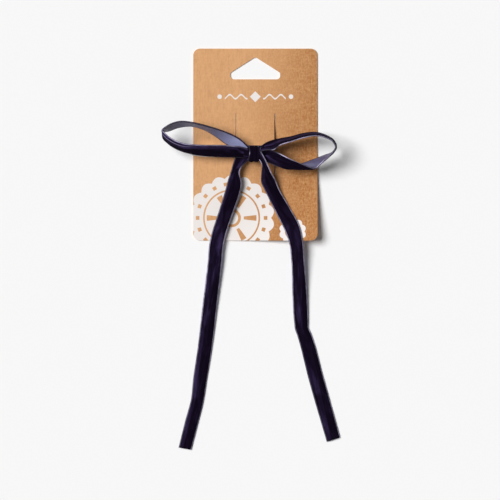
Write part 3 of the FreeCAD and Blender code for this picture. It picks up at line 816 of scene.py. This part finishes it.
def knot_piece():
    """Turn of ribbon that binds the bow, with soft creases running round it."""
    centre, half = middle("knot_wrap")
    cols, rows = 46, 144
    border, border_drop = 0.88, 0.00025
    outer_face, inner_face = -0.00012, -0.0007
    verts, spots, naps, bares = [], [], [], []
    for j in range(rows):
        a = 2 * math.pi * j / rows
        swing = 0.8 * math.sin(a + 0.6) + 0.3 * math.sin(3 * a)
        sag = 0.00065 * max(-math.cos(a), 0) ** 2
        for turn in (1, -1):
            for i in range(cols):
                t = turn * (i / (cols - 1) * 2 - 1)
                barrel = 1.0 - 0.10 * abs(t) ** 3
                ridge = abs(math.sin(3.9 * t + swing + 0.5)) ** 0.7
                crease = 0.42 * (ridge - 0.62) + 0.07 * math.sin(11.0 * t - 1.5 * swing)
                deep = MM * crease * (1 - abs(t) ** 4) * (0.75 + 0.25 * math.sin(2 * a + 1.0))
                drop = border_drop if abs(t) > border else 0.0
                reach = deep - drop + outer_face if turn > 0 else inner_face
                spread = t * half[0] * (0.93 + 0.07 * math.cos(2 * a)) + 0.00028 * math.sin(a + 0.9)
                verts.append((centre[0] + spread,
                              centre[1] + math.cos(a) * (half[1] * barrel + reach) - sag,
                              centre[2] + math.sin(a) * (half[2] * barrel + reach)))
                spots.append((0.5 + t / 2, a * 0.0031 / 0.007))
                # Painted sheen on the crease ridges, strongest on the upper side towards the light.
                brushed = (0.15 + abs(t)) * (0.5 + 0.5 * math.sin(a + 0.4))
                naps.append(0.05 + 0.75 * ridge ** 6 * brushed)
                # Painted glints on the selvedges at two places round the knot.
                glint, place, wide = (0.5, 90, 13) if t < 0 else (0.4, 48, 20)
                bares.append(glint * math.exp(-((math.degrees(a) - place) / wide) ** 2))
    kinds = []
    for k in range(2 * cols):
        t = abs(k / (cols - 1) * 2 - 1) if k < cols else 1.0
        kinds.append(BACK if cols <= k < 2 * cols - 1 else (SELVEDGE if t > border else PILE))
    faces = loft(rows, 2 * cols, closed=True)
    return settle(cloth_mesh("knot", verts, faces, kinds * rows, spots, naps, bares))


def bundle_piece():
    """Ribbon crushed together inside the knot, showing as folds at both mouths."""
    centre, half = middle("knot_core")
    cols, rows = 60, 144
    verts, spots, naps = [], [], []
    for i in range(cols):
        t = i / (cols - 1) * 2 - 1
        body = (1 - 0.30 * abs(t) ** 2.5) * (0.96 if abs(t) < 0.98 else 0.7)
        for j in range(rows):
            a = 2 * math.pi * j / rows
            wave = math.cos(9 * a + 2.2 * t + 0.8 * math.sin(3 * t))
            folds = 1 + (0.03 + 0.10 * abs(t)) * wave + 0.04 * math.cos(3 * a - 1.0)
            verts.append((centre[0] + t * half[0] * 0.98,
                          centre[1] + math.cos(a) * half[1] * body * folds,
                          centre[2] + math.sin(a) * half[2] * body * folds))
            spots.append((j / rows * 2, t * 0.7))
            # Painted highlight on the crests of the crushed folds.
            naps.append(0.1 + 0.8 * max(wave, 0) ** 3)
    faces = loft(cols, rows)
    kinds, bares = [PILE] * len(faces), [0.1] * len(verts)
    return settle(cloth_mesh("knot_bundle", verts, faces, kinds, spots, naps, bares))


# ---------------------------------------------------------------- geometry nodes
def weft_loop_tree():
    """Node tree that sews a row of tiny weft loops along edge lines."""
    tree = bpy.data.node_groups.new("weft_loops", "GeometryNodeTree")
    sockets = tree.interface
    sockets.new_socket("Geometry", in_out="INPUT", socket_type="NodeSocketGeometry")
    for label, default in (("Pitch", 0.00055), ("Loop Size", 0.00010), ("Thread", 0.00004)):
        sockets.new_socket(label, in_out="INPUT", socket_type="NodeSocketFloat").default_value = default
    sockets.new_socket("Material", in_out="INPUT", socket_type="NodeSocketMaterial")
    sockets.new_socket("Geometry", in_out="OUTPUT", socket_type="NodeSocketGeometry")
    new = tree.nodes.new
    inlet, outlet = new("NodeGroupInput"), new("NodeGroupOutput")
    curve, resample = new("GeometryNodeMeshToCurve"), new("GeometryNodeResampleCurve")
    resample.mode = "LENGTH"
    circle, profile = new("GeometryNodeCurvePrimitiveCircle"), new("GeometryNodeCurvePrimitiveCircle")
    circle.inputs["Resolution"].default_value = 7
    profile.inputs["Resolution"].default_value = 4
    tube, sewn = new("GeometryNodeCurveToMesh"), new("GeometryNodeInstanceOnPoints")
    tangent, align = new("GeometryNodeInputTangent"), new("FunctionNodeAlignRotationToVector")
    align.axis = "X"
    wobble = new("FunctionNodeRandomValue")
    wobble.data_type = "FLOAT"
    for key, value in (("Min", 0.8), ("Max", 1.2), ("Seed", 7)):
        [i for i in wobble.inputs if i.name == key and i.enabled][0].default_value = value
    realise, finish = new("GeometryNodeRealizeInstances"), new("GeometryNodeSetMaterial")
    for source, output, target, entry in (
            (inlet, "Geometry", curve, "Mesh"),
            (curve, "Curve", resample, "Curve"),
            (inlet, "Pitch", resample, "Length"),
            (inlet, "Loop Size", circle, "Radius"),
            (inlet, "Thread", profile, "Radius"),
            (circle, "Curve", tube, "Curve"),
            (profile, "Curve", tube, "Profile Curve"),
            (resample, "Curve", sewn, "Points"),
            (tube, "Mesh", sewn, "Instance"),
            (tangent, "Tangent", align, "Vector"),
            (align, "Rotation", sewn, "Rotation"),
            (sewn, "Instances", realise, "Geometry"),
            (realise, "Geometry", finish, "Geometry"),
            (inlet, "Material", finish, "Material"),
            (finish, "Geometry", outlet, "Geometry")):
        tree.links.new(source.outputs[output], target.inputs[entry])
    tree.links.new([o for o in wobble.outputs if o.enabled][0], sewn.inputs["Scale"])
    return tree


def weft_loops(name, lines):
    """Row of weft loops along each edge line, as one plain mesh."""
    tree = bpy.data.node_groups.get("weft_loops") or weft_loop_tree()
    guide = bpy.data.meshes.new(name + "_guide")
    verts, edges, bares = [], [], []
    for line, bare in lines:
        base = len(verts)
        verts += line.tolist()
        bares += bare.tolist()
        edges += [(base + k, base + k + 1) for k in range(len(line) - 1)]
    guide.from_pydata(verts, edges, [])
    mark(guide, bare=bares)
    piece = bpy.data.objects.new(name, guide)
    bpy.context.scene.collection.objects.link(piece)
    modifier = piece.modifiers.new("weft_loops", "NODES")
    modifier.node_group = tree
    inputs = {i.name: i.identifier for i in tree.interface.items_tree
              if i.item_type == "SOCKET" and i.in_out == "INPUT"}
    modifier[inputs["Material"]] = shared(selvedge_thread)
    bpy.context.view_layer.update()
    grown = piece.evaluated_get(bpy.context.evaluated_depsgraph_get())
    mesh = bpy.data.meshes.new_from_object(grown)
    piece.modifiers.clear()
    piece.data = mesh
    for polygon in mesh.polygons:
        polygon.use_smooth = True
    return piece


# ---------------------------------------------------------------- stage
def lay_floor():
    """Pale paper floor just under the lowest point of the object."""
    reach = FLOOR_REACH
    mesh = bpy.data.meshes.new("floor")
    mesh.from_pydata([(-reach, -reach, 0), (reach, -reach, 0), (reach, reach, 0), (-reach, reach, 0)],
                     [], [(0, 1, 2, 3)])
    floor = bpy.data.objects.new("floor", mesh)
    floor.location.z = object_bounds()[0].z - FLOOR_GAP
    bpy.context.scene.collection.objects.link(floor)
    r = Recipe("pale_paper")
    grain = r.noise(r.object, 600.0, 3.0, 0.5)
    mesh.materials.append(r.finish(Base_Color=settings().stage.floor, Roughness=0.9, Specular_IOR_Level=0.1,
                                   Normal=r.bump(grain, 0.05, 0.0001)))
    floor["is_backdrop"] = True


def hang_surround():
    """Even light from all round, seen as a near white backdrop by the camera, metal and glass."""
    world = bpy.data.worlds.new("surround")
    bpy.context.scene.world = world
    world.use_nodes = True
    nodes, links = world.node_tree.nodes, world.node_tree.links
    backdrop = nodes["Background"]
    backdrop.inputs["Color"].default_value = (0.985, 0.985, 0.985, 1.0)
    path = nodes.new("ShaderNodeLightPath")
    seen = path.outputs["Is Camera Ray"]
    for ray in ("Is Glossy Ray", "Is Transmission Ray"):
        either = nodes.new("ShaderNodeMath")
        either.operation = "MAXIMUM"
        links.new(seen, either.inputs[0])
        links.new(path.outputs[ray], either.inputs[1])
        seen = either.outputs[0]
    level = nodes.new("ShaderNodeMapRange")
    level.inputs["To Min"].default_value = settings().stage.fill
    level.inputs["To Max"].default_value = BACKDROP_LEVEL
    links.new(seen, level.inputs["Value"])
    links.new(level.outputs[0], backdrop.inputs["Strength"])


def hang_lamp():
    """Broad soft light from the upper left."""
    lamp = bpy.data.lights.new("window", "SUN")
    lamp.energy = settings().stage.key
    lamp.angle = math.radians(32)
    lamp.color = (1.0, 0.99, 0.975)
    key = bpy.data.objects.new("window", lamp)
    key.rotation_euler = Vector(LIGHT_FROM).to_track_quat("Z", "Y").to_euler()
    bpy.context.scene.collection.objects.link(key)


def set_camera():
    """Long lens looking straight down."""
    s = settings().stage
    view = bpy.data.cameras.new("camera")
    view.sensor_width = 36.0
    view.lens = view.sensor_width * s.distance / s.span
    view.clip_start, view.clip_end = 0.05, 20.0
    camera = bpy.data.objects.new("camera", view)
    camera.location = (SEEN_FROM[0] * MM, SEEN_FROM[1] * MM, s.distance)
    bpy.context.scene.collection.objects.link(camera)
    bpy.context.scene.camera = camera


# ---------------------------------------------------------------- operators
class BOW_OT_stage(bpy.types.Operator):
    """Lay the pale floor, hang the soft lights and set the camera overhead"""
    bl_idname = "bow.stage"
    bl_label = "Stage"

    def execute(self, context):
        context.scene.view_settings.view_transform = "Standard"
        lay_floor()
        hang_surround()
        hang_lamp()
        set_camera()
        return {"FINISHED"}


class BOW_OT_card(bpy.types.Operator):
    """Finish the kraft display card and its white print"""
    bl_idname = "bow.card"
    bl_label = "Display card"

    def execute(self, context):
        dress("display_card", shared(printed_kraft))
        return {"FINISHED"}


class BOW_OT_clip(bpy.types.Operator):
    """Finish the sprung clip, its lining and the glue under the knot"""
    bl_idname = "bow.clip"
    bl_label = "Alligator clip"

    def execute(self, context):
        s = settings().clip
        strip = plated_steel("nickel_strip", s.steel, s.roughness, (0.12, 1, 1))
        wire = plated_steel("spring_wire", [c * 0.9 for c in s.steel], s.roughness + 0.06, (1, 0.2, 1))
        rivet = plated_steel("rivet_head", s.steel, s.roughness * 0.7, (1, 1, 1))
        for node, material in (
                ("clip_lower_jaw", strip), ("clip_upper_jaw", strip), ("clip_hinge_pin", rivet),
                ("clip_torsion_spring", wire), ("spring_upper_leg", wire),
                ("clip_lining", shared(ribbed_lining)), ("glue_pad", shared(set_glue))):
            dress(node, material)
        return {"FINISHED"}


class BOW_OT_loops(bpy.types.Operator):
    """Make the two loops of velvet ribbon with their selvedges"""
    bl_idname = "bow.loops"
    bl_label = "Loops"

    def execute(self, context):
        edges = []
        for name, rows in (("left_loop", LEFT_LOOP), ("right_loop", RIGHT_LOOP)):
            piece, lines = ribbon_piece(name, rows, wrapped=True)
            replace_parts(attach(piece, "bow_jaw"), name)
            edges += lines
        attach(weft_loops("loop_selvedges", edges), "bow_jaw")
        return {"FINISHED"}


class BOW_OT_knot(bpy.types.Operator):
    """Make the bound knot and the crushed ribbon inside it"""
    bl_idname = "bow.knot"
    bl_label = "Knot"

    def execute(self, context):
        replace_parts(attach(knot_piece(), "bow_jaw"), "knot_wrap")
        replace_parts(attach(bundle_piece(), "bow_jaw"), "knot_core")
        return {"FINISHED"}


class BOW_OT_tails(bpy.types.Operator):
    """Make the two long tails, which bend where the knot lifts off the card"""
    bl_idname = "bow.tails"
    bl_label = "Tails"

    def execute(self, context):
        for name, rows in (("left_tail", LEFT_TAIL), ("right_tail", RIGHT_TAIL)):
            piece, lines = ribbon_piece(name, rows, side=-1, cup=TAIL_CUP)
            loops = weft_loops(name + "_selvedges", lines)
            for part in (piece, loops):
                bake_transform(part)
            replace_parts(piece, name, name + "_root")
        return {"FINISHED"}


class BOW_PT_panel(bpy.types.Panel):
    bl_idname = "BOW_PT_panel"
    bl_label = "Velvet bow"
    bl_space_type = "VIEW_3D"
    bl_region_type = "UI"
    bl_category = "Bow"

    def draw(self, context):
        layout = self.layout
        for operator in OPERATORS:
            layout.operator(operator.bl_idname)
        for name in ("ribbon", "card", "clip", "stage"):
            group = getattr(context.scene.bow, name)
            box = layout.box()
            box.label(text=name.capitalize())
            for key in group.__annotations__:
                box.prop(group, key)


OPERATORS = (BOW_OT_stage, BOW_OT_card, BOW_OT_clip, BOW_OT_loops, BOW_OT_knot, BOW_OT_tails)
CLASSES = (RibbonSettings, CardSettings, ClipSettings, StageSettings, BowSettings, *OPERATORS, BOW_PT_panel)


def register():
    for cls in CLASSES:
        bpy.utils.register_class(cls)
    bpy.types.Scene.bow = PointerProperty(type=BowSettings)


def unregister():
    del bpy.types.Scene.bow
    for cls in reversed(CLASSES):
        bpy.utils.unregister_class(cls)


def main():
    register()
    for step in (bpy.ops.bow.stage, bpy.ops.bow.card, bpy.ops.bow.clip, bpy.ops.bow.loops,
                 bpy.ops.bow.knot, bpy.ops.bow.tails):
        step()


if __name__ == "__main__":
    main()
